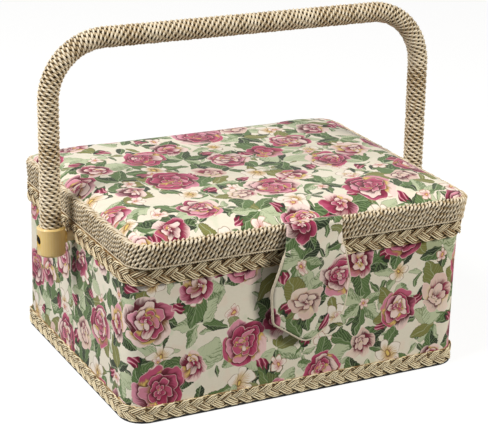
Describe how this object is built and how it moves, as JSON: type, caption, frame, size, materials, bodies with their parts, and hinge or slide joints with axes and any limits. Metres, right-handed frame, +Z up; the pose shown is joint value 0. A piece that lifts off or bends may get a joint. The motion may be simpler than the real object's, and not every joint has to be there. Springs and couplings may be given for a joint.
{
  "type": "sewing basket",
  "caption": "Fabric-covered rectangular sewing basket with a padded hinged lid, closure tab, straw braids, lift-out tray and a cord-wound swing handle.",
  "frame": {"origin": "middle of the box's footprint, on the surface that it stands on", "axes": "+X along the front to the right, the front faces -Y, +Z up"},
  "size_m": [0.3586, 0.2479, 0.2834],
  "materials": {
    "black_cloth": "matt non-woven",
    "chipboard": "raw grey-brown board",
    "printed_cotton": "plain-weave cotton with a floral print",
    "satin": "satin",
    "satin_pad": "satin",
    "straw_braid": "plaited straw",
    "paper_cord": "two-ply twisted paper cord",
    "piping_cord": "cotton piping",
    "elastic": "ribbed elastic",
    "foam": "open foam",
    "amber_plastic": "semi-gloss, slightly translucent",
    "tray_plastic": "semi-gloss moulded",
    "nickel": "nickel plate",
    "dark_steel": "dark lacquer",
    "brass": "brushed brass plate",
    "cane": "bent rattan cane"
  },
  "bodies": {
    "box": {"base_cloth": "black_cloth", "base_board": "chipboard", "wall_board": "chipboard", "wall_cover": "printed_cotton", "box_lining": "satin", "bottom_braid": "straw_braid", "rim_braid": "straw_braid", "tray_ledges": "satin", "clasp_base": "nickel", "clasp_washer": "nickel", "pivot_bolts": "dark_steel", "pivot_spacers": "amber_plastic", "pivot_washers": "nickel", "pivot_nuts": "nickel", "hinge_lower_leaves": "brass", "hinge_pins": "brass", "hinge_lower_screws": "brass"},
    "lid": {"lid_band": "paper_cord", "lid_skirt": "chipboard", "lid_board": "chipboard", "lid_lining": "satin", "lid_foam": "foam", "lid_cover": "printed_cotton", "pin_cushion": "satin_pad", "lid_pocket": "satin", "pocket_elastic": "elastic", "hinge_upper_leaves": "brass", "hinge_upper_screws": "brass", "tab_anchor": "printed_cotton"},
    "tab": {"tab_cover": "printed_cotton", "tab_stiffener": "chipboard", "tab_piping": "piping_cord", "clasp_cap": "nickel"},
    "handle": {"handle_core": "cane", "handle_winding": "paper_cord", "end_cap_left": "amber_plastic", "end_cap_right": "amber_plastic"},
    "tray": {"tray": "tray_plastic"}
  },
  "joints": [
    {"name": "lid_open", "type": "hinge", "parent": "box", "child": "lid", "pos_m": [0, 0.12005, 0.12865], "axis": [-1, 0, 0], "range_deg": [0, 95]},
    {"name": "handle_swing", "type": "hinge", "parent": "box", "child": "handle", "pos_m": [0, 0, 0.1167], "axis": [-1, 0, 0], "range_deg": [0, 120]},
    {"name": "tab_lift", "type": "hinge", "parent": "lid", "child": "tab", "pos_m": [0, -0.1205, 0.1502], "axis": [-1, 0, 0], "range_deg": [0, 150]},
    {"name": "tray_lift", "type": "slide", "parent": "box", "child": "tray", "axis": [0, 0, 1], "range_m": [0, 0.028]}
  ],
  "couplings": [
    {"joint": "handle_swing", "follows": "lid_open", "ratio": 1.25}
  ]
}
